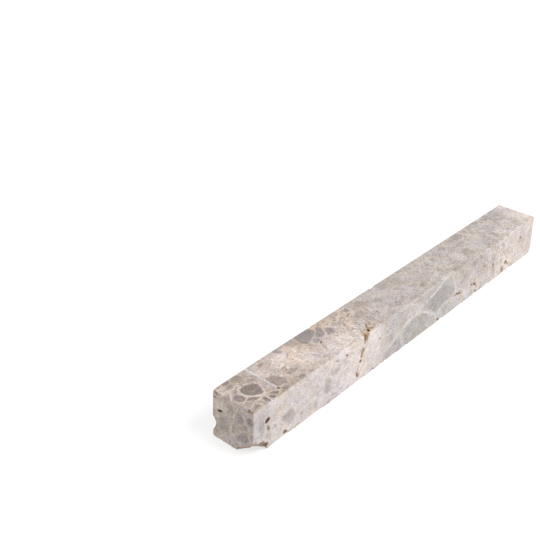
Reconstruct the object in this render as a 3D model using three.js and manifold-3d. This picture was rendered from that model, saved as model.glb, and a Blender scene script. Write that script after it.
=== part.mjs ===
// A sawn rod of grey brecciated marble, lying on one of its long faces.
//
// It is one closed solid: a square-ended bar whose two ends are sawn a little askew, with
// the chips, pits, seam and broken corners of the real stone cut into it. Millimetres, +Z
// up, +X from the near end to the far end. Places are given as lengths from the top of the
// near end, the front face and the lower face, and the finished rod is then moved so that
// the origin is under its middle.

import * as THREE from 'three';
import { ConvexGeometry } from 'three/addons/geometries/ConvexGeometry.js';
import { mergeVertices } from 'three/addons/utils/BufferGeometryUtils.js';
import Module from 'manifold-3d';

// Driving dimensions.
const FRONT_EDGE = 167.0;
const WIDTH = 16.1;
const HEIGHT = 15.0;

// How much further along the rod the back edge of each end is than its front edge.
const NEAR_SKEW = 1.6;
const FAR_SKEW = 2.2;

// How far the foot of the near end stands out beyond its top.
const NEAR_LEAN = 0.5;

// How deep the seam and the pits are cut.
const SEAM_DEPTH = 0.8;
const PIT_DEPTH = 0.6;

// The saw mark is a shallow scratch across the top face.
const SAW_MARK = { from: [14.9, 15.6], to: [13.4, 2.6], width: 0.8, depth: 0.12 };

// Small chips along the long edges.
const CHIP_SPACING = 9.0;
const CHIP_LEAST = 0.3;
const CHIP_MOST = 0.7;

const wasm = await Module();
wasm.setup();

// A solid for joining and cutting, from a closed geometry.
function toSolid(geometry) {
  const shape = geometry.clone();
  shape.deleteAttribute('normal');
  shape.deleteAttribute('uv');
  const merged = mergeVertices(shape);
  return new wasm.Manifold(
    new wasm.Mesh({
      numProp: 3,
      vertProperties: new Float32Array(merged.attributes.position.array),
      triVerts: new Uint32Array(merged.index.array),
    }),
  );
}

// A geometry for showing, from a finished solid.
function toGeometry(solid) {
  const mesh = solid.getMesh();
  const geometry = new THREE.BufferGeometry();
  geometry.setAttribute('position', new THREE.BufferAttribute(mesh.vertProperties, 3));
  geometry.setIndex(new THREE.BufferAttribute(mesh.triVerts, 1));
  geometry.computeVertexNormals();
  return geometry;
}

// The bar as sawn, from its eight corners.
function sawnBar() {
  const corners = [];
  for (const [height, lean] of [[0, NEAR_LEAN], [HEIGHT, 0]]) {
    corners.push(
      new THREE.Vector3(-lean, 0, height),
      new THREE.Vector3(NEAR_SKEW - lean, WIDTH, height),
      new THREE.Vector3(FRONT_EDGE, 0, height),
      new THREE.Vector3(FRONT_EDGE + FAR_SKEW, WIDTH, height),
    );
  }
  return new ConvexGeometry(corners);
}

// Waves over a unit sphere, from -1 to 1, different for each shape number.
function ripple({ x, y, z }, shape) {
  const broad = Math.sin(2.9 * x + shape) * Math.sin(3.7 * y + 2.1 * shape);
  const fine = Math.sin(5.3 * z + 1.7 * shape) * Math.sin(4.1 * x - 3.3 * y + shape);
  return (broad + fine) / 2;
}

// A rough rounded lump, to cut a broken hollow with. Its half sizes run along X, Y and Z.
function lump({ at, half, shape = 1, rough = 0.2, detail = 1 }) {
  const geometry = new THREE.IcosahedronGeometry(1, detail);
  const points = geometry.attributes.position;
  const point = new THREE.Vector3();
  for (let i = 0; i < points.count; i += 1) {
    point.fromBufferAttribute(points, i);
    point.multiplyScalar(1 + rough * ripple(point, shape));
    points.setXYZ(i, point.x * half[0], point.y * half[1], point.z * half[2]);
  }
  return geometry.translate(...at);
}

// Corners and edges that have broken away.
function breaks() {
  const nearLowerCorner = { at: [-14.1, -11.5, -18.9], half: [30, 30, 30], rough: 0.01, detail: 9 };
  const chipsInItsEdge = [
    { at: [4.4, -0.1, 1.7], half: [1.3, 0.8, 0.9], shape: 4 },
    { at: [2.4, -0.1, 3.2], half: [1.4, 0.6, 0.6], shape: 7 },
  ];
  const wornFoot = [
    { at: [11.5, -1.1, -1.0], half: [9.5, 2.6, 2.2], rough: 0.05, detail: 3 },
    { at: [24.0, -1.2, -1.2], half: [16.0, 2.2, 2.0], rough: 0.05, detail: 3 },
    { at: [50.5, -1.2, -1.2], half: [6.5, 2.2, 2.0], rough: 0.05, detail: 2 },
  ];
  const notchInBackEdge = { at: [0.9, 17.1, 4.1], half: [2.2, 2.4, 2.5], shape: 2, detail: 3 };
  const nearUpperBackCorner = { at: [1.2, 16.7, 14.6], half: [1.3, 1.1, 1.6], shape: 3, detail: 2 };
  const farFrontSpall = { at: [170.5, -19.3, 7.6], half: [17, 19.8, 22], rough: 0.01, detail: 6 };
  const farLowerCorner = { at: [168.6, -1.4, -1.2], half: [3.6, 3.2, 3.4], shape: 5, detail: 2 };
  const wornNearBackEdge = [
    { at: [0.2, 17.2, 0.8], half: [2.5, 1.4, 2.2], rough: 0.05, detail: 2 },
    { at: [0.4, 17.3, 11.0], half: [2.2, 1.45, 5.5], rough: 0.05, detail: 3 },
  ];
  return [
    nearLowerCorner,
    ...chipsInItsEdge,
    ...wornFoot,
    ...wornNearBackEdge,
    notchInBackEdge,
    nearUpperBackCorner,
    farFrontSpall,
    farLowerCorner,
  ].map(lump);
}

// The seam: a hole in the top face, and below it four openings down the front face, given as
// [from the near end, height, half width, half height].
function seam() {
  const hole = lump({ at: [54.9, 0.95, HEIGHT], half: [0.65, 0.45, 1.6], shape: 7 });
  const openings = [
    [52.8, 14.1, 0.8, 1.9],
    [50.9, 9.3, 0.5, 1.6],
    [49.8, 6.9, 0.5, 0.5],
    [48.6, 2.6, 0.4, 1.1],
  ];
  const cuts = openings.map(([along, height, halfWidth, halfHeight], shape) =>
    lump({ at: [along, 0, height], half: [halfWidth, SEAM_DEPTH, halfHeight], shape }),
  );
  return [hole, ...cuts];
}

// Open pits in the front face, given as [from the near end, height, half width, half height].
function frontPits() {
  const pits = [
    [5.9, 9.5, 0.85, 0.65],
    [6.1, 6.9, 0.4, 0.85],
    [13.5, 1.5, 0.85, 0.5],
    [57.1, 0.3, 0.6, 0.4],
    [96.4, 0.8, 0.7, 0.45],
    [108.8, 5.5, 0.75, 0.4],
    [110.8, 4.9, 0.6, 0.35],
    [121.5, 4.2, 1.1, 0.4],
    [122.7, 0.9, 0.7, 0.45],
    [135.0, 6.7, 0.5, 1.1],
    [142.9, 1.6, 0.9, 1.0],
    [145.8, 3.6, 1.0, 0.5],
    [156.5, 9.8, 0.65, 0.4],
  ];
  return pits.map(([along, height, halfWidth, halfHeight], shape) =>
    lump({ at: [along, 0, height], half: [halfWidth, PIT_DEPTH, halfHeight], shape }),
  );
}

// Open pits in the top face, given as [from the near end, from the front, half size].
function topPits() {
  const pits = [
    [13.6, 2.6, 0.4],
    [40.3, 8.0, 0.5],
    [56.2, 2.5, 0.4],
    [153.6, 1.6, 0.4],
  ];
  return pits.map(([along, across, half], shape) =>
    lump({ at: [along, across, HEIGHT], half: [half, half, PIT_DEPTH], shape }),
  );
}

// The one deep pit in the near end.
function nearEndPit() {
  return lump({ at: [0.9, 13.1, 9.4], half: [PIT_DEPTH, 0.8, 0.35], shape: 2 });
}

// The scratch across the top, as a thin bar sunk into the face.
function sawMark() {
  const { from, to, width, depth } = SAW_MARK;
  const start = new THREE.Vector3(...from, HEIGHT);
  const end = new THREE.Vector3(...to, HEIGHT);
  const run = new THREE.Vector3().subVectors(end, start);
  const bar = new THREE.BoxGeometry(run.length(), width, 2 * depth);
  bar.rotateZ(Math.atan2(run.y, run.x));
  const middle = start.add(end).multiplyScalar(0.5);
  return bar.translate(...middle);
}

// Small chips along the four long edges, unevenly spaced and sized.
function edgeChips() {
  const chips = [];
  const edges = [
    [0, 0],
    [0, HEIGHT],
    [WIDTH, 0],
    [WIDTH, HEIGHT],
  ];
  const count = Math.floor(FRONT_EDGE / CHIP_SPACING) - 1;
  edges.forEach(([across, height], edge) => {
    for (let i = 1; i <= count; i += 1) {
      const shape = 10 * edge + i;
      const drift = 0.4 * Math.sin(7.3 * shape) * CHIP_SPACING;
      const size = THREE.MathUtils.lerp(CHIP_LEAST, CHIP_MOST, 0.5 + 0.5 * Math.sin(3.1 * shape));
      const at = [i * CHIP_SPACING + drift, across, height];
      chips.push(lump({ at, half: [1.8 * size, size, size], shape }));
    }
  });
  return chips;
}

// Moves a geometry along X and Y so that the origin is under the middle of its box.
function centred(geometry) {
  geometry.computeBoundingBox();
  const middle = geometry.boundingBox.getCenter(new THREE.Vector3());
  return geometry.translate(-middle.x, -middle.y, 0);
}

function marbleRod() {
  const cuts = [
    ...breaks(),
    ...seam(),
    ...frontPits(),
    ...topPits(),
    nearEndPit(),
    sawMark(),
    ...edgeChips(),
  ];
  const rod = cuts.reduce((left, cut) => left.subtract(toSolid(cut)), toSolid(sawnBar()));
  const stone = new THREE.MeshStandardMaterial({ color: 0xb9b0a9, roughness: 0.7, metalness: 0 });
  const mesh = new THREE.Mesh(centred(toGeometry(rod)), stone);
  mesh.name = 'marble_rod';
  return mesh;
}

const group = new THREE.Group();
group.add(marbleRod());

export default group;
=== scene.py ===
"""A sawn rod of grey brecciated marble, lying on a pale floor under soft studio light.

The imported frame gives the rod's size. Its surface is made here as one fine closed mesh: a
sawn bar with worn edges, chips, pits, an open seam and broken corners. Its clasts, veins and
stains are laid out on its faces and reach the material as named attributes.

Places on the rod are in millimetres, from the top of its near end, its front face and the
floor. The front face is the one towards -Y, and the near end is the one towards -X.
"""

import itertools
import math
import random
from collections import namedtuple

import bpy
import numpy as np
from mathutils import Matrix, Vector


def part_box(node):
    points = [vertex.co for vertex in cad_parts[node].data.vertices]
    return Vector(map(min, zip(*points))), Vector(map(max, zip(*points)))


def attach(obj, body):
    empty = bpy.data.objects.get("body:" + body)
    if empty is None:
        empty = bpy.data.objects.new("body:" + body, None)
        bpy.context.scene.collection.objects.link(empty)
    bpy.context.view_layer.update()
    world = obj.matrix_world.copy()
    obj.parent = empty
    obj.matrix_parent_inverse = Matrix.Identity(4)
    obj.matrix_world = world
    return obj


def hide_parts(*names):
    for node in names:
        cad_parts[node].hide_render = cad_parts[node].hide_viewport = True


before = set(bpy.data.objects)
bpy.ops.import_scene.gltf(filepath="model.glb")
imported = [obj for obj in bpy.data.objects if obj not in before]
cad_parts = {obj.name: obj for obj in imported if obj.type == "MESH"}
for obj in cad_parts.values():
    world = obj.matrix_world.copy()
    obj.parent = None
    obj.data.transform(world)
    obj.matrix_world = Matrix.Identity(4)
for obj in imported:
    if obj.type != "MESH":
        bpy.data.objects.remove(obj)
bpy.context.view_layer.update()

MM = 0.001
BOX_LOW, BOX_HIGH = (np.array(corner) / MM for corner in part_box("marble_rod"))
WIDTH, HEIGHT = (BOX_HIGH - BOX_LOW)[1:]

FRONT_EDGE = 167  # length of the upper front edge
# Both ends are sawn a little askew: how much further along the back edge of each one is.
NEAR_SKEW = 1.6
FAR_SKEW = 2.2
NEAR_LEAN = 0.5  # how far the foot of the near end stands out beyond its top
LENGTH = FRONT_EDGE + FAR_SKEW
ORIGIN = np.array((BOX_HIGH[0] - LENGTH, BOX_LOW[1], BOX_LOW[2]))

CELL = 0.34  # the grid that the surface is made on
WEAR = 0.25  # how far the sawn edges are rounded
HEART = 2  # anything deeper than this is in the main body of the stone
SLIGHT = 0.1  # the depth given to a place that is filled in
FAR = 50.0  # stands for any distance that is too large to matter

# The faces that markings are laid on. A place on a face is along and up it. Along is along the
# rod, or back from the front face on the ends. Up is back from the front face where a face is
# level.
FACES = ("top", "front", "back", "foot", "near end", "far end")
TOP, FRONT, BACK, FOOT, NEAR_END, FAR_END = FACES


def on_faces(kind, rows):
    """A marking of this kind for each row of each face."""
    return [kind(face, *row) for face, face_rows in rows.items() for row in face_rows]


# A rough ellipsoid broken out of the stone, and how dirty it is: 0.3 is tan, 0.6 brown and
# 1 nearly black.
Break = namedtuple("Break", "centre half rough dirt")
BREAK_SEED = 100
BREAK_GRAIN = 1.6  # the size of the roughness in a break
BREAK_REACH = 2  # nothing of a break is further out than this
BREAK_FADE = 0.4  # how far round a break, or the seam, its dirt fades out

BREAKS = [
    Break((-14.1, -11.5, -18.9), (30, 30, 30), 0.3, 0.45),  # near lower front corner
    # The dark brown of the hollow under that corner is partly painted shade.
    Break((4.6, 2.4, -0.4), (2.6, 2, 3), 0.3, 0.8),  # hollow under that corner
    Break((4.2, -0.1, 1.9), (1.5, 0.8, 0.8), 0.1, 0.75),  # chips in the edge above that hollow
    Break((2.2, -0.1, 3.4), (1.6, 0.6, 0.5), 0.1, 0.7),
    Break((11.5, -1.1, -1), (9.5, 2.6, 2.2), 0.25, 0.3),  # worn foot of the front face
    Break((0.9, 17.1, 4.1), (2.2, 2.4, 2.5), 0.25, 0.6),  # notch in the near back edge
    Break((1.2, 16.7, 14.6), (1.3, 1.1, 1.6), 0.4, 0.5),  # near upper back corner
    Break((170.5, -19.3, 7.6), (17, 19.8, 22), 0.2, 0.1),  # spall at the far end
    Break((168.6, -1.4, -1.2), (3.6, 3.2, 3.4), 0.3, 0.1),  # far lower front corner
    Break((24, -1.2, -1.2), (16, 2.2, 2), 0.15, 0),  # worn stretches of the front foot
    Break((50.5, -1.2, -1.2), (6.5, 2.2, 2), 0.15, 0),
    Break((0.2, 17.2, 0.8), (2.5, 1.4, 2.2), 0.1, 0),  # worn back edge of the near end
    Break((0.4, 17.3, 11), (2.2, 1.45, 5.5), 0.15, 0),
]

# A pit or a stain in a face: its middle, half its length and width, its turn in degrees, its
# depth, how dirty it is and, where its brown is an ochre, how rusty.
Pit = namedtuple("Pit", "face along up long wide turn depth dirt rust", defaults=(0,))
PIT_SEED = 200
PIT_GRAIN = 0.9  # the size of the roughness in a pit
PIT_ROUGH = 0.5  # how rough a pit is, as a share of its half sizes
PIT_REACH = 1.5  # nothing of a pit is further out than this
PIT_FADE = 0.35  # how far round a pit its dirt fades out
STAIN_DEPTH = 0.5  # the dirt of any pit goes at least this deep

FRONT_PITS = [
    (5.85, 9.5, 0.95, 0.52, 32, 0.8, 0.97),
    (6.1, 6.95, 0.9, 0.48, 108, 0.3, 0.66),
    (13.5, 1.55, 0.85, 0.45, -20, 0.5, 0.68),
    (37.8, 12.7, 0.8, 0.35, -25, 0.1, 0.42),
    (42.6, 12.4, 0.35, 0.25, -25, 0.3, 0.7),
    (45.1, 11.9, 0.4, 0.25, -30, 0, 0.3),
    (51.95, 13.9, 1.3, 0.35, 102, 0.7, 0.78, 0.6),
    (57.1, 0.3, 0.7, 0.4, -15, 0.4, 0.78),
    (60.1, 10.1, 0.5, 0.3, -60, 0.1, 0.42),
    (89.3, 12.2, 0.7, 0.35, -50, 0, 0.44),
    (60.9, 10.8, 0.4, 0.3, 0, 0, 0.3),
    (96.3, 5.6, 0.9, 0.28, -35, 0, 0.38),
    (96.4, 0.8, 0.8, 0.35, -35, 0.4, 0.74),
    (103.1, 4.65, 0.45, 0.4, 0, 0, 0.42),
    (103.6, 6.9, 1.2, 0.3, -12, 0, 0.4),
    (106.6, 5.8, 0.9, 0.22, -25, 0.1, 0.46),
    (108.8, 5.5, 0.8, 0.26, -20, 0.4, 0.74),
    (110.8, 4.95, 0.6, 0.24, -28, 0.3, 0.7),
    (119, 5, 0.5, 0.26, -30, 0.3, 0.72),
    (121.5, 4.2, 1.2, 0.26, -24, 0.3, 0.7),
    (121.2, 5.9, 0.6, 0.4, -20, 0, 0.4),
    (122.7, 0.95, 0.8, 0.35, -32, 0.4, 0.7),
    (123.2, 2.8, 0.9, 0.25, -35, 0, 0.4),
    (127.2, 7.7, 0.8, 0.3, -20, 0, 0.44, 0.3),
    (128.2, 8.7, 1, 0.35, -25, 0.1, 0.5, 0.3),
    (129.7, 10.6, 0.8, 0.4, -50, 0, 0.38),
    (133.8, 14.5, 2, 0.35, -8, 0, 0.38),
    (135, 6.7, 1.4, 0.6, 100, 0.3, 0.6),
    (136.6, 3.8, 0.9, 0.4, -30, 0, 0.35),
    (142.9, 1.6, 1.2, 0.8, -50, 0.5, 0.5, 0.8),
    (145.8, 3.6, 1, 0.5, -10, 0.4, 0.64),
    (147, 2.7, 0.8, 0.3, -45, 0.2, 0.48),
    (156.5, 9.8, 0.7, 0.4, -25, 0.3, 0.6),
]

TOP_PITS = [
    (0.4, 0.7, 0.5, 0.4, 30, 0.2, 0.66, 0.3),
    (0.4, 1.9, 0.4, 0.3, 50, 0.2, 0.7),
    (0.8, 14.2, 0.5, 0.3, 50, 0.1, 0.52),
    (3.1, 15.3, 0.5, 0.3, 20, 0.1, 0.5),
    (13.6, 2.65, 0.38, 0.33, 90, 0.5, 0.76),
    (16.9, 1.8, 0.4, 0.25, 0, 0.1, 0.45),
    (19.1, 13.8, 1.1, 0.55, 20, 0, 0.5),
    (22, 7.7, 1.2, 0.25, 15, 0, 0.46),
    (21.9, 6.5, 0.6, 0.25, 40, 0, 0.46),
    (24.3, 4.8, 0.5, 0.3, 30, 0, 0.5),
    (26.5, 0.8, 0.9, 0.4, 0, 0, 0.49),
    (37.2, 9.7, 0.7, 0.3, 20, 0, 0.5),
    (40.3, 8, 0.5, 0.2, 42, 0.4, 0.8),
    (38.8, 5.3, 1.4, 0.25, 65, 0.1, 0.45, 0.6),
    (54.9, 0.95, 0.6, 0.38, 30, 1.6, 1.1),
    (56.4, 1.3, 1, 0.55, -20, 0.1, 0.56, 0.5),
    (58.2, 2.9, 0.7, 0.4, -20, 0, 0.46, 0.4),
    (53, 1.8, 1.3, 0.25, 58, 0, 0.46, 0.9),
    (56.2, 2.5, 0.7, 0.2, 45, 0.3, 0.7),
    (57.1, 3.3, 0.9, 0.22, 40, 0.1, 0.6),
    (59.1, 1.6, 0.5, 0.3, 30, 0.1, 0.45),
    (44.6, 0.5, 0.8, 0.3, 10, 0, 0.3),
    (47.5, 0.9, 1.2, 0.3, 8, 0, 0.3),
    (47.6, 14.6, 0.55, 0.4, 40, 0, 0.5),
    (50.4, 14.8, 0.6, 0.3, 40, 0, 0.46),
    (53.1, 12.6, 0.6, 0.35, 40, 0, 0.46),
    (53, 8.6, 0.6, 0.35, 40, 0, 0.48),
    (56.5, 14.2, 0.8, 0.35, 25, 0, 0.5),
    (58.4, 11.1, 0.9, 0.35, 25, 0.1, 0.5),
    (52.4, 6.8, 0.6, 0.35, 20, 0, 0.42, 0.8),
    (52, 5, 0.9, 0.35, 10, 0, 0.44, 0.6),
    (150.2, 2.8, 0.9, 0.45, 25, 0, 0.44),
    (153.6, 1.6, 0.6, 0.35, 20, 0.2, 0.5),
    (166.8, 11.8, 0.4, 0.3, 0, 0.2, 0.4),
]

NEAR_END_PITS = [
    (13.1, 9.4, 0.75, 0.26, -15, 0.8, 0.92),
    (10.1, 10.5, 0.4, 0.2, -40, 0.1, 0.4),
    (5.1, 8.7, 0.9, 0.18, -16, 0.1, 0.4),
    (0.9, 8.6, 0.4, 0.25, 0, 0.1, 0.42),
    (0.5, 12.1, 0.3, 0.25, 0, 0.2, 0.5),
    (1.6, 14.9, 0.6, 0.3, 0, 0.1, 0.48),
    (5.6, 1, 0.3, 0.25, 0, 0.2, 0.7),
    (7.1, 0.1, 0.4, 0.25, 0, 0.2, 0.75),
    (15.3, 13, 0.45, 0.3, 0, 0.1, 0.66),
    (14.6, 14.4, 0.45, 0.3, 0, 0.1, 0.6),
    (12.6, 0.1, 3, 0.3, 0, 0, 0.42),
    (8.6, 0.1, 1, 0.25, 0, 0, 0.48),
]
PITS = on_faces(Pit, {FRONT: FRONT_PITS, TOP: TOP_PITS, NEAR_END: NEAR_END_PITS})

# The open seam down the front face, from its foot up: the height, the place along the rod,
# half the seam's width and how dirty it is. It is closed where half its width is negative.
SEAM = [
    (1.3, 49.1, -0.2, 0.2),
    (1.8, 48.9, 0.3, 0.4),
    (2.6, 48.6, 0.4, 0.45),
    (3.6, 48.4, 0.2, 0.35),
    (4.6, 48.9, -0.05, 0.2),
    (5.5, 49.1, 0.1, 0.4),
    (6.2, 50.1, -0.1, 0.4),
    (6.9, 49.8, 0.6, 0.95),
    (7.4, 50.3, -0.1, 0.4),
    (7.8, 50.6, 0.3, 0.46),
    (8.6, 50.7, 0.55, 0.46),
    (9.6, 51, 0.6, 0.48),
    (10.5, 51.2, 0.5, 0.5),
    (10.9, 51.4, -0.1, 0.4),
    (11.9, 51.9, -0.1, 0.3),
    (12.4, 52.2, 0.4, 0.55),
    (13, 52.5, 0.7, 0.55),
    (14, 52.9, 0.8, 0.55),
    (15.2, 53.2, 0.85, 0.55),
]
SEAM_HEIGHTS, SEAM_PLACES, SEAM_HALF_WIDTHS, SEAM_DIRTS = np.array(SEAM).T
SEAM_DEPTH = 0.5
SEAM_REACH = 12  # nothing of the seam is further along the rod from its top than this
SUNK_DIRT = 0.35  # how dirty the stone is where it is below the faces as sawn


# -------- shape


def noise(points, size, seed):
    """Smooth noise from -1 to 1, with features of about this size, at (n, 3) points."""
    period = 64
    lattice = np.random.default_rng(seed).uniform(-1, 1, (period,) * 3)
    scaled = points / size
    cell = np.floor(scaled).astype(int)
    part = scaled - cell
    part = part * part * (3 - 2 * part)
    total = np.zeros(len(points))
    for corner in itertools.product((0, 1), repeat=3):
        weight = np.prod(np.where(corner, part, 1 - part), axis=1)
        near = (cell + corner) % period
        total += weight * lattice[near[:, 0], near[:, 1], near[:, 2]]
    return total


def rough_noise(points, size, seed, octaves=3):
    """Noise with finer and fainter noise on it."""
    return sum(noise(points, size / 2**i, seed + i) / 2**i for i in range(octaves))


def soft_least(a, b, blend):
    """The smaller of two depths, rounded off where they are nearly equal."""
    overlap = np.clip(blend - np.abs(a - b), 0, None)
    return np.minimum(a, b) - overlap**2 / (4 * blend)


def face_places(points, face):
    """Each point's place along and up a face, and its depth behind that face."""
    along, across, height = points.T
    near_end = NEAR_SKEW * across / WIDTH - NEAR_LEAN * (1 - height / HEIGHT)
    far_end = FRONT_EDGE + FAR_SKEW * across / WIDTH
    return {
        TOP: (along, across, HEIGHT - height),
        FRONT: (along, height, across),
        BACK: (along, height, WIDTH - across),
        FOOT: (along, across, height),
        NEAR_END: (across, height, along - near_end),
        FAR_END: (across, height, far_end - along),
    }[face]


def in_halves(along, up, oval):
    """Places measured from the middle of an oval on its own axes, in its half sizes."""
    along, up = along - oval.along, up - oval.up
    cos, sin = math.cos(math.radians(oval.turn)), math.sin(math.radians(oval.turn))
    return (along * cos + up * sin) / oval.long, (up * cos - along * sin) / oval.wide


def face_depths(points):
    """How far each point is inside the nearer of each pair of sawn faces."""
    opposites = ((NEAR_END, FAR_END), (FRONT, BACK), (FOOT, TOP))
    return [np.minimum(*(face_places(points, face)[2] for face in pair)) for pair in opposites]


def sunk_field(points):
    """How far each point is below the faces as sawn."""
    return np.clip(np.min(face_depths(points), axis=0), 0, None)


def where_close(points, close, measure):
    """What measure gives for the points that are close, and FAR for the others."""
    outside = np.full(len(points), FAR)
    outside[close] = measure(points[close])
    return outside


def outside_break(points, broken, seed):
    """How far each point is outside a break, roughly."""

    def measure(points):
        offset = (points - broken.centre) / broken.half
        distance = (np.linalg.norm(offset, axis=1) - 1) * min(broken.half)
        return distance + broken.rough * rough_noise(points, BREAK_GRAIN, seed)

    close = np.abs(points[:, 0] - broken.centre[0]) < broken.half[0] + BREAK_REACH
    return where_close(points, close, measure)


def outside_pit(points, pit, depth, seed):
    """How far each point is outside a pit of this depth, roughly."""

    def measure(points):
        along, up, behind = face_places(points, pit.face)
        parts = (*in_halves(along, up, pit), behind / depth)
        rough = PIT_ROUGH * rough_noise(points, PIT_GRAIN, seed, 2)
        return (np.linalg.norm(parts, axis=0) + rough - 1) * pit.wide

    along, up, _ = face_places(points, pit.face)
    close = np.hypot(along - pit.along, up - pit.up) < pit.long + PIT_REACH
    return where_close(points, close, measure)


def beside_seam(points):
    """How far along the rod each point is from the middle of the seam, and its half width."""
    height = points[:, 2]
    middle = np.interp(height, SEAM_HEIGHTS, SEAM_PLACES)
    middle += 0.3 * rough_noise(points, size=1.3, seed=40, octaves=2)
    half_width = np.interp(height, SEAM_HEIGHTS, SEAM_HALF_WIDTHS)
    half_width += 0.2 * noise(points, size=0.8, seed=42)
    return points[:, 0] - middle, half_width


def outside_seam(points):
    """How far each point is outside the open seam."""

    def measure(points):
        beside, half_width = beside_seam(points)
        deep = points[:, 1] - SEAM_DEPTH - 0.3 * noise(points, size=1, seed=41)
        return np.maximum(np.abs(beside) - half_width, deep)

    return where_close(points, np.abs(points[:, 0] - SEAM_PLACES[-1]) < SEAM_REACH, measure)


# The noises that chip the edges: the size, the strength and the seed of each.
CHIP_NOISES = ((2.2, 1, 2), (0.9, 0.7, 3), (9, 0.4, 4))
CHIP_LEAST = 0.4  # where the noises reach this, a chip begins
CHIP_DEPTH = 0.6
MORE_AT_FOOT = 0.2
FOOT_HEIGHT = 3  # the lower edges' extra chipping is gone at this height


def stone_depth(points):
    """How far each point is inside the finished stone. It is negative outside. The lower edges
    are the most chipped."""
    depths = face_depths(points)
    depth_along, depth_across, depth_high = depths
    wear = WEAR * (1 + 0.6 * noise(points, size=4, seed=1))
    depth = soft_least(soft_least(depth_across, depth_high, wear), depth_along, wear)
    nearest, second, _ = np.sort(depths, axis=0)
    edge = (nearest + second) / math.sqrt(2)
    chips = sum(strength * noise(points, size, seed) for size, strength, seed in CHIP_NOISES)
    chips += MORE_AT_FOOT * np.clip(1 - points[:, 2] / FOOT_HEIGHT, 0, 1)
    depth = np.minimum(depth, edge - CHIP_DEPTH * np.clip(chips - CHIP_LEAST, 0, None))
    for seed, broken in enumerate(BREAKS, start=BREAK_SEED):
        depth = np.minimum(depth, outside_break(points, broken, seed))
    for seed, pit in enumerate(PITS, start=PIT_SEED):
        if pit.depth > 0:
            depth = np.minimum(depth, outside_pit(points, pit, pit.depth, seed))
    return np.minimum(depth, outside_seam(points))


def grid_line(start, end):
    """Evenly spaced places, from one and a half cells before start to as far after end."""
    cells = round((end - start) / CELL)
    step = (end - start) / cells
    return start + (np.arange(cells + 4) - 1.5) * step


def reached(start, allowed):
    """Every place on the grid that can be reached from the start, a step at a time."""
    found = start & allowed
    while True:
        grown = found.copy()
        for axis, step in itertools.product(range(3), (-1, 1)):
            grown |= np.roll(found, step, axis)
        grown &= allowed
        if np.array_equal(grown, found):
            return found
        found = grown


def without_pinches(inside):
    """The stone, filled in where two parts of it only touch along a line."""
    while True:
        filled = inside.copy()
        for axes in ((0, 1), (1, 2), (2, 0)):
            beside, above = (np.roll(inside, -1, axis) for axis in axes)
            opposite = np.roll(inside, (-1, -1), axes)
            pinched = (inside == opposite) & (beside == above) & (inside != beside)
            for steps in itertools.product((0, 1), repeat=2):
                filled |= np.roll(pinched, steps, axes)
        if np.array_equal(filled, inside):
            return inside
        inside = filled


def one_body(depth):
    """The depths of the same stone with no loose crumbs and no closed hollows."""
    inside = reached(depth > HEART, without_pinches(depth > 0))
    border = np.ones(depth.shape, bool)
    border[1:-1, 1:-1, 1:-1] = False
    inside = ~reached(border, ~inside)
    changed = inside != (depth > 0)
    return np.where(changed, np.where(inside, SLIGHT, -SLIGHT), depth)


def surface_net(depth, lines):
    """Corners and outward quads of the surface where depth, on a grid, is zero. Each grid cell
    that the surface passes through has a corner, and each grid edge that it crosses a quad."""
    cells = tuple(np.array(depth.shape) - 1)
    place_sum = np.zeros((3, np.prod(cells)))
    count = np.zeros(np.prod(cells))
    quads = []
    for axis, line in enumerate(lines):
        index = np.argwhere(np.diff(depth > 0, axis=axis))
        after = index + np.eye(3, dtype=int)[axis]
        start, end = depth[tuple(index.T)], depth[tuple(after.T)]
        place = np.stack([lines[a][index[:, a]] for a in range(3)])
        place[axis] += (line[1] - line[0]) * start / (start - end)
        ring = []
        for back in ((0, 0), (1, 0), (1, 1), (0, 1)):
            cell = index.copy()
            cell[:, [(axis + 1) % 3, (axis + 2) % 3]] -= back
            flat = np.ravel_multi_index(cell.T, cells)
            ring.append(flat)
            count += np.bincount(flat, minlength=len(count))
            for a in range(3):
                place_sum[a] += np.bincount(flat, place[a], minlength=len(count))
        ring = np.stack(ring, axis=1)
        ring[start < 0] = ring[start < 0][:, ::-1]
        quads.append(ring)
    used = count > 0
    number = np.cumsum(used) - 1
    return (place_sum[:, used] / count[used]).T, number[np.concatenate(quads)]


def stone_surface():
    """Corners, in millimetres on the rod, and quads of the whole stone."""
    lines = [grid_line(*side) for side in ((-NEAR_LEAN, LENGTH), (0, WIDTH), (0, HEIGHT))]
    grid = np.stack(np.meshgrid(*lines, indexing="ij"), axis=-1)
    depth = stone_depth(grid.reshape(-1, 3)).reshape(grid.shape[:3])
    return surface_net(one_body(depth), lines)


def make_rod():
    corners, quads = stone_surface()
    mesh = bpy.data.meshes.new("rod_stone")
    mesh.from_pydata((corners + ORIGIN) * MM, [], quads)
    mesh.polygons.foreach_set("use_smooth", [True] * len(mesh.polygons))
    rod = bpy.data.objects.new("rod_stone", mesh)
    bpy.context.scene.collection.objects.link(rod)
    return rod, corners


# -------- markings

# A darker piece of stone set in the paler ground: its face, the corners of its outline, each
# along and up in turn, then how dark it is and how cool, each from 0 to 1.
Clast = namedtuple("Clast", "face outline dark cool")

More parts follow.
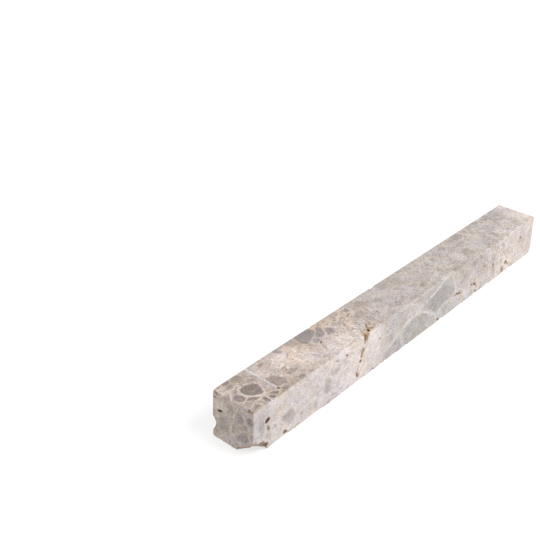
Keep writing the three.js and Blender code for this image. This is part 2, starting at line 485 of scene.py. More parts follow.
TOP_CLASTS = [
    ([5.3, 9, 6.3, 10, 7.8, 10.4, 9.4, 10.1, 10.8, 9.4, 11.2, 8.2, 10.7, 6.5, 9.7, 5.1, 8.6, 4.3,
      6.4, 5.6, 5.1, 7.2], 0.95, 0.1),
    ([1.3, 7.8, 1.8, 9, 3, 9.3, 4.1, 8.7, 4.5, 7.4, 4.1, 6, 2.5, 5.6, 1.6, 6.4], 0.75, 0.1),
    ([3.6, 10.8, 4.3, 11.3, 5.4, 10.8, 5.2, 9.8, 4.1, 9.5], 0.5, 0.4),
    ([4.4, 14.2, 4.7, 16.1, 7.8, 16.1, 7, 14.6, 5.6, 14], 0.6, 0),
    ([3.7, 13.2, 4.4, 13.9, 6.8, 14, 6.8, 13, 5.4, 12.2, 4.3, 12.4], 0.55, 0.1),
    ([8, 13.3, 7.8, 15.2, 9.5, 15.9, 11, 15.4, 11.1, 13.8, 10, 12.6, 8.9, 12.6], 0.45, 0),
    ([10, 10.5, 10.4, 11.6, 11.8, 11.8, 12.8, 10.9, 12.4, 9.8, 11, 9.7], 0.3, 0.2),
    ([3.1, 5.2, 4.4, 5.9, 5.5, 5.3, 7.4, 3.7, 5.8, 3.5, 4.2, 4.4], 0.85, 0.1),
    ([6.4, 2.2, 7.2, 3, 8, 2.5, 8.1, 0.8, 7.3, 0.4, 6.6, 0.9], 0.82, 0.1),
    ([5.1, 1.5, 5.6, 2.1, 6.1, 2.1, 5.7, 1.5], 0.45, 0.1),
    ([8.6, 1.6, 9.1, 2.2, 9.9, 1.8, 10.4, 0.9, 9.6, 0.4, 9, 0.7], 0.82, 0.1),
    ([9.8, 2.5, 10.5, 3.2, 11.4, 2.6, 12.4, 1.8, 11.4, 0.9, 10.6, 1.8], 0.78, 0.3),
    ([1.6, 1.3, 2.4, 2.1, 3.6, 2.4, 4.1, 1.6, 3.8, 0.8, 2.6, 0.7], 0.5, 0.1),
    ([0.8, 10.2, 1.6, 11.3, 2.4, 10.6, 1.8, 9.8], 0.35, 0.1),
    ([14, 4.2, 14.2, 7.4, 15.2, 8.6, 16.6, 8.1, 17.7, 7, 18.8, 4.5, 17.3, 1.7, 16.2, 2.7, 14.3,
      3.2], 0.62, 0.1),
    ([13.8, 0.7, 14.2, 1.8, 15.6, 2.1, 16.5, 1.3, 15.8, 0.5], 0.5, 0.4),
    ([20.6, 4.9, 21.4, 6.1, 23.6, 6.3, 24.6, 5, 23.4, 4.1, 21.2, 4], 0.5, 0),
    ([20.8, 0.5, 21.6, 1.7, 22.6, 2.3, 24, 1, 23.2, 0.3], 0.7, 0.6),
    ([26.8, 16.1, 26.8, 14.5, 27.9, 13.2, 28.7, 13.7, 28.9, 16.1], 0.8, 0.9),
    ([28.6, 14.8, 28.6, 16.1, 31.8, 16.1, 31.2, 15], 0.4, 0.7),
    ([32, 14.2, 31.6, 16.1, 36.4, 16.1, 36.2, 12, 34.6, 12.2], 0.48, 0.9),
    ([36, 11.6, 36, 13.6, 37, 16.1, 43.6, 16.1, 44.6, 13.8, 43.2, 12.3, 40.6, 11.5, 39, 10.8, 37.2,
      10.4], 0.85, 0.7),
    ([42, 10, 41.8, 11.2, 44.2, 13, 45.8, 14.6, 47.3, 13.2, 46.2, 11.5, 44.8, 9.8, 43.4, 9.4],
      0.78, 0.8),
    ([45, 8.8, 46.5, 10.8, 47, 12, 48.4, 11.6, 49.6, 9.8, 47.4, 8.2], 0.75, 0.9),
    ([38.7, 9, 39.4, 10.4, 40.4, 11, 41.6, 10.3, 41.2, 9.2, 40, 8.3], 0.78, 0.9),
    # Part of this clast's dark is a painted shadow of another rod lying across the top there.
    ([59.6, 14.2, 61.6, 14.5, 61.6, 12.9, 60.6, 12.4, 59.6, 12.6], 0.75, 0.2),
    ([58, 8.6, 58.6, 9.4, 62, 10.6, 63.6, 9.6, 63.4, 7.4, 61.4, 6.8, 58.6, 7.2], 0.3, 0.7),
    ([149, 11.2, 149.6, 11.9, 150.3, 11.4, 149.6, 11], 0.35, 0.4),
    ([149.5, 5.2, 150, 5.8, 150.8, 5.4, 150.2, 5], 0.3, 0.2),
    ([152.6, 12.2, 154, 12.8, 155.2, 12.4, 154.6, 11.7, 153.2, 11.6], 0.5, 0.5),
    ([155.6, 8.6, 156.3, 9.6, 157.5, 10.1, 159.8, 8.9, 158.6, 8, 156.6, 7.8], 0.5, 1),
    ([155.5, 3.2, 157, 4.4, 159.5, 4.4, 160.2, 3.6, 156.5, 2.7], 0.3, 0.2),
    ([157.5, 15.3, 160, 15.8, 164.9, 15.6, 160.5, 14.7], 0.35, 0.5),
]
FRONT_CLASTS = [
    ([2, 12.6, 3.6, 13, 4.8, 11.6, 4.2, 7.4, 3.2, 6.3, 2, 7.6], 0.3, 0.9),
    ([5.2, 4.9, 7, 5, 7.4, 4, 6.4, 3.4, 5.4, 3.8], 0.3, 0.6),
    ([8.3, 6.4, 9.2, 6.6, 9.9, 6, 9.3, 5.4, 8.5, 5.6], 0.3, 0.6),
    ([9.4, 11, 10.4, 11.9, 11.8, 11.4, 11.3, 10.3, 9.9, 10.2], 0.3, 0.7),
    ([12.2, 7.4, 15.6, 8.4, 17.6, 7.2, 17.8, 5.4, 15.9, 3.3, 14.6, 3.4, 13.4, 4.7, 12.2, 5.6], 0.4,
      0.7),
    ([20, 4.4, 21.2, 4.6, 22.4, 3.9, 22, 3.1, 20.6, 3.2], 0.3, 0.2),
    ([26.2, 3.9, 27.6, 3.9, 28.4, 3, 27.4, 1.8, 26.6, 2.4], 0.35, 0.7),
    ([27.7, 6.6, 28.4, 7.4, 29.6, 6.8, 29.4, 5.4, 28.2, 5], 0.25, 0.6),
    ([31.7, 8.6, 33.6, 9.4, 35, 8.2, 35.1, 5, 34, 4.2, 32.6, 4.1, 31.6, 5.4], 0.4, 0.9),
    ([34.4, 10.4, 38.6, 10.2, 39.6, 9.4, 36.4, 8.4, 35, 8.8], 0.4, 0.8),
    ([38.9, 11, 40, 11.4, 42, 11.2, 39.6, 10.5], 0.3, 0.6),
    ([35, 2.5, 36.6, 2.5, 37.2, 1.9, 35.8, 1.4], 0.3, 0.5),
    ([39, 2.4, 40.6, 2.7, 41.2, 2.1, 40, 1.6], 0.3, 0.5),
    ([64.9, 8.6, 66.4, 9, 69.2, 7.2, 66.6, 5.6, 65.2, 5.6], 0.33, 0.4),
    ([63.2, 3.4, 65.2, 4.2, 70.8, 4.9, 72.4, 4.2, 73.8, 0.3, 64, 0.3, 62.8, 1.4], 0.35, 0.8),
    ([74.4, 7, 77.2, 8, 82, 8.2, 85.6, 7.8, 88.4, 6.8, 90, 4.6, 87.6, 2.2, 90.4, 0.2, 75.2, 0.2,
      73.8, 4.4], 0.36, 0.95),
    ([87.8, 9.8, 89, 11, 91.8, 11.4, 94, 12.2, 97, 12.3, 101, 11.8, 104, 10.6, 106.6, 9, 106, 7.2,
      104.4, 6.4, 101, 6.3, 98, 5.6, 96, 4.2, 94, 4.5, 91.4, 6.4, 88.6, 8], 0.46, 1),
    ([98.5, 4.2, 101.5, 4.8, 103, 3.2, 101.6, 0.6, 99, 1.2], 0.25, 0.8),
    ([116, 13, 118.5, 14.8, 125, 14.4, 126, 12.6, 121, 11.8], 0.25, 0.7),
    ([133, 9.4, 134.5, 11.2, 137, 10.4, 136.6, 8.4, 134.2, 7.8], 0.2, 0.5),
]
NEAR_END_CLASTS = [
    ([2.7, 12, 1.8, 13, 0.3, 12.9, 0.1, 11.3, 0.9, 10.3, 2.2, 10.4], 0.7, 0.3),
    ([6.7, 10.6, 6, 12.3, 4.4, 12.3, 3.8, 11, 4.1, 9.8, 5.8, 9], 0.52, 0.9),
    ([10.6, 12.2, 9.4, 13.2, 8, 13.2, 7.3, 12.2, 8, 11.2, 9.4, 10.9], 0.5, 0.5),
    ([12.3, 13.6, 12, 14.5, 10.8, 14.6, 10.4, 13.8, 11.2, 13.3], 0.4, 0.5),
    ([13, 6.8, 12, 8, 10.4, 8, 9.6, 6.6, 9.4, 4.8, 10.2, 3.6, 12, 3.4, 13.2, 4.6], 0.3, 0.4),
    ([7.9, 7.6, 7.3, 8, 6.8, 7, 7, 5.4, 7.6, 4.6, 8, 5.8], 0.35, 0.4),
    ([6.7, 3.9, 5.4, 5.8, 4.2, 7.2, 2.4, 7, 1.6, 5.4, 3, 4.1, 6, 3.1], 0.55, 0.9),
    ([3.5, 9.4, 2.7, 9.6, 2.2, 8.8, 2.4, 7.8, 3.6, 8.4], 0.45, 0.6),
    ([14.6, 3.4, 13.6, 3, 13.4, 1.6, 14.8, 1.2, 15.2, 2.4], 0.35, 0.6),
    ([6.8, 1.9, 5.8, 2.6, 5, 1.8, 5.8, 1.3], 0.4, 0.3),
]
CLASTS = on_faces(Clast, {TOP: TOP_CLASTS, FRONT: FRONT_CLASTS, NEAR_END: NEAR_END_CLASTS})

CLAST_DEPTH = 1.2  # how deep a clast runs into the stone
CLAST_REACH = 2.5  # how far from a clast its distance is worked out
CLAST_WOBBLE = 0.12  # how far the noise moves the outlines of the clasts, roughly

# A face or a stretch of one where the clasts are scattered: its lowest and highest places
# along and up, and how many clasts it has.
Scatter = namedtuple("Scatter", "face low high count")

SCATTER_SEED = 12
SCATTER_SIZE = 1.7  # about the radius of a large one

SCATTERS = [
    Scatter(TOP, (66, 1), (148, WIDTH - 1), 12),
    Scatter(BACK, (2, 1), (FRONT_EDGE, HEIGHT - 1), 24),
    Scatter(FOOT, (8, 1), (FRONT_EDGE, WIDTH - 1), 24),
    Scatter(FAR_END, (1, 1), (WIDTH - 1, HEIGHT - 1), 4),
]

# The ground between the clasts, along the rod: the place, then how tan, how grey and how dark
# the ground is there, how bold its own fragments are, and how freckled with brown it is.
GROUND_FIELDS = ("tan", "grey", "dark", "bold", "freckled")
# The front's ground is paler, cooler and fainter than the top's, partly as painted sheen.
FRONT_GROUND = [
    (0, 0.2, 0.3, 0.35, 0.4, 0.1),
    (12, 0.2, 0.2, 0.2, 0.45, 0.1),
    (30, 0.2, 0.1, 0.1, 0.45, 0.1),
    (44, 0.2, 0, -0.1, 0.3, 0),
    (60, 0.3, 0, -0.1, 0.3, 0),
    (65, 0.1, 0.8, 0.2, 0.9, 0),
    (80, 0.1, 0.8, 0.2, 0.8, 0),
    (107, 0.1, 0.8, 0.25, 0.6, 0.1),
    (113, 0.35, 0.3, 0.25, 0.9, 0.3),
    (126, 0.3, 0.3, 0.25, 0.9, 0.3),
    (132, 0.3, 0.1, 0.1, 1.3, 0.2),
    (140, 0.4, 0, -0.05, 1.4, 0.25),
    (150, 0.4, 0, -0.1, 0.6, 0.2),
    (160, 0.35, 0, 0.1, 0.4, 0.1),
    # The last row pales the front at its far edge: a painted highlight.
    (LENGTH, 0.3, 0, -0.2, 0.3, 0.1),
]
TOP_GROUND = [
    (0, 1, 0, 0.75, 1, 0.3),
    (13.5, 1, 0.2, 0.75, 1, 0.3),
    (15.5, 1, 0, 0.3, 0.75, 0.5),
    (34, 1, 0, 0.15, 0.65, 0.4),
    (47, 1, 0, 0.15, 0.6, 0.5),
    (50, 1, 0, 0.35, 1.3, 1),
    (61, 1, 0, 0.45, 1.3, 0.9),
    (68, 0.6, 0.6, 0.4, 1.2, 0.4),
    (135, 0.5, 0.5, 0.35, 1.6, 0.3),
    (148, 0.4, 0.3, 0.35, 2, 0.5),
    (156, 0.3, 0.3, 0.3, 1.2, 0.4),
    (LENGTH, 0.4, 0.2, -0.35, 0.5, 0.3),
]
# The near end is darker partly for its grey stone and partly as painted shade.
NEAR_END_GROUND = [(0, 0.9, 0.3, 0.57, 0.6, 0.3)]
FACE_BLEND = 0.3  # how wide the change is from one face's ground to the next one's
DRIFT = 2  # how far the changes in the ground wander along the rod, at most
SHADE_EDGE = 1.5  # where a shade ends, in its half sizes

# A broad soft patch where the ground changes: its face, its middle, half its length and width,
# how much darker and how much more tan it is there, and its turn in degrees.
Shade = namedtuple("Shade", "face along up long wide dark tan turn", defaults=(0,))

FRONT_SHADES = [
    (11, 3.4, 4, 3.2, -0.5, 0),
    (9.5, 12, 3.5, 2.5, -0.25, 0),
    (57, 2.3, 4, 2, 0.2, 0),
    (35, 14.3, 14, 1.8, -0.4, -0.2),
    (52.5, 8.5, 3.5, 1.8, -0.35, 0),
    (56.5, 7, 5, 6.5, -0.2, -0.3),
    (107, 6, 2.5, 2, -0.6, 0),
    (112, 11.5, 2.5, 2.5, 0.4, -0.2),
    (115.5, 12.8, 4.5, 2.2, 0.2, 0.2),
    (124.5, 11.2, 5, 3.2, 0.5, 0.2),
    (128, 5, 3.5, 2, 0.2, 0),
    (115.5, 4.5, 3, 1.5, -0.5, 0),
    (143, 3.5, 8, 3.5, -0.3, 0.2),
    (157, 9.2, 3, 2.2, 0.65, 0),
    (161, 8, 4, 2.5, 0.15, 0),
    (96, 12.8, 9, 2.4, 0.6, 0),
    (110, 2.3, 9, 2.2, -0.2, -0.3),
    (122, 3, 3.5, 3, -0.6, 0),
    (138.5, 11.5, 5, 3.2, -0.6, 0),
    (162.5, 12.5, 3, 2.5, -0.4, 0),
    (162, 2.3, 4, 2, -0.35, 0),
    (147.5, 3.8, 2, 3, -0.5, 0),
    (65.5, 1.8, 4, 2.2, -0.45, 0),
    (92.5, 2, 2.5, 1.8, 0.4, 0),
    (102.5, 5.5, 2.5, 1.6, 0.45, 0),
    (37.5, 2.2, 2.6, 1.8, 0.4, 0),
]

TOP_SHADES = [
    (24, 10, 8, 4.5, -0.4, -0.3),
    (27, 3, 3, 2, 0.3, 0),
    (6, 0.5, 6, 2, 0.45, 0),
    (13, 0.5, 4, 1.5, 0.6, 0),
    (24, 0.5, 12, 1.8, 0.4, 0.3),
    (56, 1, 4, 1.2, 0.7, 0.4),
    (8, 14.6, 5, 2, 0.35, 0),
    (18, 14.5, 4, 2, 0.5, -0.5),
    (45, 3, 17, 5, -0.4, -0.7, 6),
    (50.5, 7.5, 6, 4, -0.3, 0.4),
    (54, 13, 6, 2.5, -0.15, 0.3),
    (152, 9, 6, 6, -0.2, 0),
    (165.5, 6, 3, 5, -0.75, 0.2),
    (158.5, 13, 5.5, 2.5, 1.15, -0.2),
    (1.8, 13.2, 2.5, 2.5, -0.8, 0),
    (28.5, 9.5, 5.5, 4, -0.55, 0),
    (33.5, 2.4, 3, 2, 0.35, 0),
    (54, 2.4, 2.5, 1.5, 0.35, 0.1),
    (143.5, 5, 4, 3.5, -0.45, 0),
    (155, 2.3, 9, 2.5, -0.4, -0.1),
    (25, 13.2, 3, 2, -0.4, 0),
    (49.5, 2, 2.5, 2, -0.45, 0),
    (19, 2.2, 3.5, 1.8, 0.4, 0),
    (141, 2, 2.5, 1.8, -0.4, 0),
]

NEAR_END_SHADES = [
    (13, 12, 3, 2, -0.8, 0.3),
    (11, 2, 3, 1.5, -0.3, -0.4),
    (3, 8.5, 3, 6, 0.3, 0),
]
SHADES = on_faces(Shade, {FRONT: FRONT_SHADES, TOP: TOP_SHADES, NEAR_END: NEAR_END_SHADES})

# A pale line: its face, its points, each along and up in turn, half its width and how
# strongly it shows.
Vein = namedtuple("Vein", "face points half strength")

TOP_VEINS = [
    ([7.4, 11.1, 5.8, 10.6, 4.7, 9.4, 4.6, 7.5, 5, 6.2, 6.4, 5, 8.3, 3.7, 9.8, 4.6], 0.35, 0.9),
    ([1.9, 12.5, 3.6, 12, 5.2, 11.7, 7.2, 12.3, 7.4, 11.1], 0.35, 0.7),
    ([0.5, 7.9, 1.6, 9.2, 2.9, 10.5, 3.2, 12], 0.3, 0.7),
    ([8.3, 3.8, 8.4, 2, 8.1, 0.3], 0.35, 0.9),
    ([8.3, 3.8, 9.8, 3.4, 11.6, 3.1, 12.6, 2.4], 0.35, 0.7),
    ([9.4, 10.8, 11.3, 10, 12.3, 8.6, 12, 6.5, 12.4, 4.8], 0.3, 0.6),
    ([2.3, 2.6, 4.4, 3, 6.2, 3, 8.2, 3.8], 0.35, 0.6),
    ([4.6, 3, 4.6, 0.4], 0.3, 0.7),
]
FRONT_VEINS = [
    ([66.7, 4.5, 69.8, 6, 73.4, 7.6], 0.7, 0.8),
    ([73.4, 7.6, 77.6, 8.8, 82.4, 9.4], 0.9, 0.8),
    ([82.2, 10.2, 87.3, 11.3, 92, 12.2, 96.2, 13.6, 100.5, 15.2], 0.9, 1),
    ([81.6, 10.4, 85.4, 8.6, 90.4, 5.9, 93.4, 4.2, 95.6, 1.6, 96.2, 0.4], 0.6, 0.9),
    ([72.2, 6.4, 73.8, 3.7, 75, 1], 0.5, 0.7),
    ([97, 4.6, 101.6, 5.2, 105.9, 6, 107.8, 8.4, 105, 13], 0.7, 0.8),
    ([107.6, 6.6, 110, 7.2, 112.6, 5.6], 0.7, 0.9),
    ([80, 13.4, 83, 11.4, 82.2, 9.9], 0.6, 0.6),
]
NEAR_END_VEINS = [
    ([7.7, 14, 7.5, 12, 7.9, 9, 8.7, 6.5, 8.5, 4.2, 9, 3], 0.4, 0.45),
    ([4.1, 7.2, 5.6, 5.8, 8.2, 4], 0.3, 0.6),
    ([3.7, 12.4, 3.2, 10.6, 1.9, 9.4, 1.7, 7.4], 0.3, 0.5),
]
VEINS = on_faces(Vein, {TOP: TOP_VEINS, FRONT: FRONT_VEINS, NEAR_END: NEAR_END_VEINS})

SAW_MARK = [
    Vein(TOP, [14.9, 15.9, 14.3, 9.8], 0.55, 1),
    Vein(TOP, [14.3, 9.8, 13.4, 2.6], 0.65, 0.65),
]


def scattered_clasts():
    """Clasts of random outlines, where none are listed."""
    chance = random.Random(SCATTER_SEED)
    clasts = []
    for scatter in SCATTERS:
        for _ in range(scatter.count):
            along, up = (chance.uniform(*ends) for ends in zip(scatter.low, scatter.high))
            size = chance.uniform(0.6, 1.15) ** 3 * SCATTER_SIZE
            stretch = chance.uniform(1.0, 1.8)
            sides = chance.randint(5, 8)
            outline = []
            for side in range(sides):
                angle = math.tau * (side + chance.uniform(-0.3, 0.3)) / sides
                radius = size * chance.uniform(0.65, 1.35)
                right = radius * stretch * math.cos(angle)
                outline += [along + right, up + radius * math.sin(angle)]
            clasts.append(Clast(scatter.face, outline, chance.uniform(0.2, 0.5), chance.random()))
    return clasts


def pairs(values):
    """The places in a list that has each one's two numbers in turn."""
    return list(zip(values[::2], values[1::2]))


def outline_distance(along, up, outline):
    """Signed distance from places on a face to an outline. It is negative inside."""
    nearest = np.full(len(along), np.inf)
    inside = np.zeros(len(along), bool)
    for (along0, up0), (along1, up1) in zip(outline, outline[1:] + outline[:1]):
        run, rise = along1 - along0, up1 - up0
        right, high = along - along0, up - up0
        share = np.clip((right * run + high * rise) / (run**2 + rise**2), 0, 1)
        nearest = np.minimum(nearest, np.hypot(right - share * run, high - share * rise))
        crosses = (up0 > up) != (up1 > up)
        inside ^= crosses & ((high * run > right * rise) == (rise > 0))
    return np.where(inside, -nearest, nearest)


def clast_fields(points):
    """For the nearest clast: its signed distance, negative inside, how much further off the
    next one is, how dark it is and how cool."""
    wobble = [rough_noise(points, size=1.6, seed=seed, octaves=2) for seed in (50, 60, 70)]
    points = points + CLAST_WOBBLE * np.transpose(wobble)
    nearest, second = np.full((2, len(points)), FAR)
    dark, cool = np.zeros((2, len(points)))
    for clast in CLASTS + scattered_clasts():
        along, up, behind = face_places(points, clast.face)
        outline = pairs(clast.outline)
        low, high = (end(outline, axis=0) for end in (np.min, np.max))
        middle, reach = (low + high) / 2, (high - low) / 2 + CLAST_REACH
        close = (np.abs(along - middle[0]) < reach[0]) & (np.abs(up - middle[1]) < reach[1])
        close &= behind < 2 * CLAST_DEPTH
        distance = np.full(len(points), FAR)
        outside = outline_distance(along[close], up[close], outline)
        distance[close] = np.maximum(outside, behind[close] - CLAST_DEPTH)
        closer = distance < nearest
        second = np.where(closer, nearest, np.minimum(second, distance))
        nearest[closer] = distance[closer]
        dark[closer] = clast.dark
        cool[closer] = clast.cool
    gap = second - nearest
    return {"clast": nearest, "clast_gap": gap, "clast_dark": dark, "clast_cool": cool}


def line_fields(points, veins, name):
    """For the nearest line: signed distance to one side of it, plain distance from it, half its
    width and its strength."""
    side, nearest = np.full((2, len(points)), FAR)
    half, strength = np.zeros((2, len(points)))
    for vein in veins:
        along, up, behind = face_places(points, vein.face)
        for start, end in itertools.pairwise(pairs(vein.points)):
            run, rise = end[0] - start[0], end[1] - start[1]
            length = math.hypot(run, rise)
            ahead = ((along - start[0]) * run + (up - start[1]) * rise) / length
            beside = ((up - start[1]) * run - (along - start[0]) * rise) / length
            beyond = np.clip(np.maximum(-ahead, ahead - length), 0, None)
            distance = np.sqrt(beside**2 + beyond**2 + behind**2)
            closer = distance < nearest
            nearest[closer] = distance[closer]
            side[closer] = beside[closer]
            half[closer] = vein.half
            strength[closer] = vein.strength
    measures = {"side": side, "near": nearest, "half": half, "strength": strength}
    return {f"{name}_{measure}": values for measure, values in measures.items()}


def dirt_and_shade_fields(points):
    """How dirty the stone is, where 0.3 is tan, 0.6 brown and 1 nearly black, and how rusty.
    Along the seam's left side and in the hollow under the near lower corner, the dark is
    partly painted shade.
    """
    dirt = SUNK_DIRT * np.clip((sunk_field(points) - 0.05) / 0.2, 0, 1)
    rust = np.zeros(len(points))
    for seed, broken in enumerate(BREAKS, start=BREAK_SEED):
        fade = np.clip(1 - outside_break(points, broken, seed) / BREAK_FADE, 0, 1)
        dirt = np.maximum(dirt, broken.dirt * fade)
    for seed, pit in enumerate(PITS, start=PIT_SEED):
        outside = outside_pit(points, pit, max(pit.depth, STAIN_DEPTH), seed)
        fade = np.clip(1 - outside / PIT_FADE, 0, 1)
        dirt = np.maximum(dirt, pit.dirt * fade)
        rust = np.maximum(rust, pit.rust * (fade > 0))
    fade = np.clip(1 - outside_seam(points) / BREAK_FADE, 0, 1)
    beside, half_width = beside_seam(points)
    # Painted shade: darker along the seam's left side, where its floor lies in the shade of the
    # left wall.
    left_wall_shade = np.clip(1.3 - 2 * beside / np.clip(half_width, 0.1, None), 0, 1)
    seam_dirt_and_shade = np.interp(points[:, 2], SEAM_HEIGHTS, SEAM_DIRTS) + 0.25 * left_wall_shade
    return {"dirt": np.maximum(dirt, seam_dirt_and_shade * fade), "rust": np.maximum(rust, fade > 0)}


def on_face(points, face):
    """How much each point belongs to a face, from 0 to 1."""
    depths = {other: face_places(points, other)[2] for other in FACES}
    own = depths.pop(face)
    return np.clip(0.5 + (np.min(list(depths.values()), axis=0) - own) / FACE_BLEND, 0, 1)


def ground_fields(points):
    """How tan, grey, dark, bold and freckled the ground is at each point."""
    drift = points[:, 0] + DRIFT * noise(points, size=5, seed=80)

    def along_rod(ground):
        places, *columns = np.array(ground).T
        return np.array([np.interp(drift, places, column) for column in columns])

    values = along_rod(TOP_GROUND)
    for face, ground in ((FRONT, FRONT_GROUND), (NEAR_END, NEAR_END_GROUND)):
        values += (along_rod(ground) - values) * on_face(points, face)
    fields = dict(zip(GROUND_FIELDS, values))
    for shade in SHADES:
        along, up, _ = face_places(points, shade.face)
        reach = np.hypot(*in_halves(along, up, shade))
        share = on_face(points, shade.face) * np.clip(SHADE_EDGE - reach, 0, 1)
        fields["dark"] += shade.dark * share
        fields["tan"] += shade.tan * share
    fields["tan"] = np.clip(fields["tan"], 0, 1)
    return fields


def mark_rod(mesh, corners):
    """Puts the laid-out markings on the mesh, for the material to read."""
    fields = {
        **clast_fields(corners),
        **line_fields(corners, VEINS, "vein"),
        **line_fields(corners, SAW_MARK, "saw"),
        **ground_fields(corners),
        **dirt_and_shade_fields(corners),
    }
    for name, values in fields.items():
        attribute = mesh.attributes.new(name, "FLOAT", "POINT")
        attribute.data.foreach_set("value", np.asarray(values, np.float32))


# -------- marble

STUDIO_LIGHT = 1.46  # how many times brighter a lit face looks than its own colour


def tone(*parts):
    """The stone's own colour that looks like this one, from 0 to 255, in the studio's light."""
    return (*(((part / 255 + 0.055) / 1.055) ** 2.4 / STUDIO_LIGHT for part in parts), 1)


CREAM = tone(234, 218, 208)
TAN = tone(206, 185, 173)
PALE = tone(236, 227, 223)
PALE_SHADE = tone(212, 202, 198)
COOL_GREY = tone(201, 197, 194)
WARM_GREY = tone(180, 164, 156)
FAINT_WARM = tone(204, 183, 173)
DARK_WARM = tone(148, 133, 127)
FAINT_COOL = tone(203, 198, 195)
DARK_COOL = tone(145, 138, 138)
PALE_VEIN = tone(234, 217, 205)
WHITE_VEIN = tone(234, 229, 227)
OCHRE = tone(192, 158, 112)
UMBER = tone(158, 138, 122)
BROWN = tone(116, 95, 76)
DARK_BROWN = tone(60, 43, 30)
SAW_WHITE = tone(228, 226, 229)
WARM_TINT = (1.05, 1, 0.91, 1)
LILAC_TINT = (0.985, 0.985, 1.06, 1)

SEED_STEP = 13.7  # how far each seed moves a pattern off, in units of its own size

# The material. The functions below add nodes to its tree.
marble = bpy.data.materials.new("marble")
marble.use_nodes = True
tree = marble.node_tree


class Value:
    """What a shader node gives, so that sums can be written with it."""

    def __init__(self, socket):
        self.socket = socket

    def __add__(self, other):
        return maths("ADD", self, other)

    def __sub__(self, other):
        return maths("SUBTRACT", self, other)

    def __rsub__(self, other):
        return maths("SUBTRACT", other, self)

    def __mul__(self, other):
        return maths("MULTIPLY", self, other)

    def __abs__(self):
        return maths("ABSOLUTE", self)

    __radd__ = __add__
    __rmul__ = __mul__


def feed(node, name, value):
    """Sets an input of a node, or links it to what another node gives."""
    if isinstance(value, Value):
        tree.links.new(value.socket, node.inputs[name])
    else:
        node.inputs[name].default_value = value


def add_node(kind, inputs, output=0, **settings):
    """What this output of a new node gives."""
    node = tree.nodes.new(kind)
    for name, value in settings.items():
        setattr(node, name, value)
    for name, value in inputs.items():
        feed(node, name, value)
    return Value(node.outputs[output])


def maths(operation, a, b=0):
    return add_node("ShaderNodeMath", {0: a, 1: b}, operation=operation)


def vectors(operation, *inputs):
    return add_node("ShaderNodeVectorMath", dict(enumerate(inputs)), operation=operation)


def places(size, seed=0):
    """Places on the stone, in units of this many millimetres, moved off by the seed."""
    own = add_node("ShaderNodeTexCoord", {}, "Object")
    return vectors("MULTIPLY_ADD", own, (1 / (size * MM),) * 3, (SEED_STEP * seed,) * 3)


def shifted(origin, by, amount):
    """Places moved about by a coloured noise."""
    return vectors("MULTIPLY_ADD", vectors("SUBTRACT", by, (0.5,) * 3), (amount,) * 3, origin)


def field(name):
    """One of the markings that mark_rod puts on the mesh."""
    return add_node("ShaderNodeAttribute", {}, "Fac", attribute_name=name)


def cloud(size, seed=0, detail=3, roughness=0.55, output="Fac"):
    """Noise from 0 to 1, with features of about this size."""
    inputs = {"Vector": places(size, seed), "Scale": 1, "Detail": detail, "Roughness": roughness}
    return add_node("ShaderNodeTexNoise", inputs, output)


def wander(size, amount, seed, detail=3):
    """Noise from about -amount/2 to amount/2."""
    return amount * (cloud(size, seed, detail) - 0.5)


def cells(origin, output, feature="F1"):
    """A pattern of random cells, about one to each unit of places."""
    inputs = {"Vector": origin, "Scale": 1}
    return add_node("ShaderNodeTexVoronoi", inputs, output, feature=feature)


def primary(colour, number):
    """The red, green or blue of a colour, which are numbers 0, 1 and 2."""
    return add_node("ShaderNodeSeparateColor", {0: colour}, number)


def smooth(value, start, end):
    """0 where value is at start, 1 at end, and smooth between."""
    inputs = {"Value": value, "From Min": start, "From Max": end}
    return add_node("ShaderNodeMapRange", inputs, interpolation_type="SMOOTHSTEP")


def mix(share, a, b, blend="MIX"):
    """Colour a, or b where share is 1. The node's colour inputs are 6 and 7, its output 2."""
    inputs = {0: share, 6: a, 7: b}
    return add_node("ShaderNodeMix", inputs, 2, data_type="RGBA", blend_type=blend)


def lighten(colour, amount):
    """A colour times a brightness."""
    return add_node("ShaderNodeVectorMath", {0: colour, "Scale": amount}, operation="SCALE")


def ground_colour():
    """Cream and tan, pale pink or cool grey, as the zones of the rod say."""
    mottle = 0.6 * cloud(1.6, 0, 4, 0.6) + 0.4 * cloud(6, 1, 2)
    tan = field("tan")
    light = mix(tan, PALE, CREAM)
    shade = mix(tan, PALE_SHADE, TAN)
    ground = mix(smooth(mottle, 0.58, 0.4), light, shade)
    grey = field("grey") * smooth(mottle, 0.25, 0.5)
    return mix(grey, ground, COOL_GREY)


def fragments(size, seed):
    """A chance and a hue for each angular fragment of about this size, and how deep inside the
    fragment a place is, as a share of the size."""
    broad = cloud(0.8 * size, seed, output="Color")
    fine = cloud(0.25 * size, seed + 1, output="Color")
    warped = shifted(places(size, seed), broad, 0.7)
    warped = shifted(warped, fine, 0.22)
    own = cells(warped, "Color")
    inside = cells(warped, "Distance", "DISTANCE_TO_EDGE")
    return primary(own, 0), primary(own, 1), inside


def vein_colour():
    return mix(field("tan"), WHITE_VEIN, PALE_VEIN)


# The sizes of fragment in the ground: the size and seed of each, how strongly the darkest and
# the palest of them show, and how wide the lines between them are, as a share of the size.
FRAGMENTS = (
    (4.5, 3, 0.55, 0.35, 0.03),
    (2, 6, 0.5, 0.4, 0.05),
    (0.9, 9, 0.45, 0.45, 0.07),
)


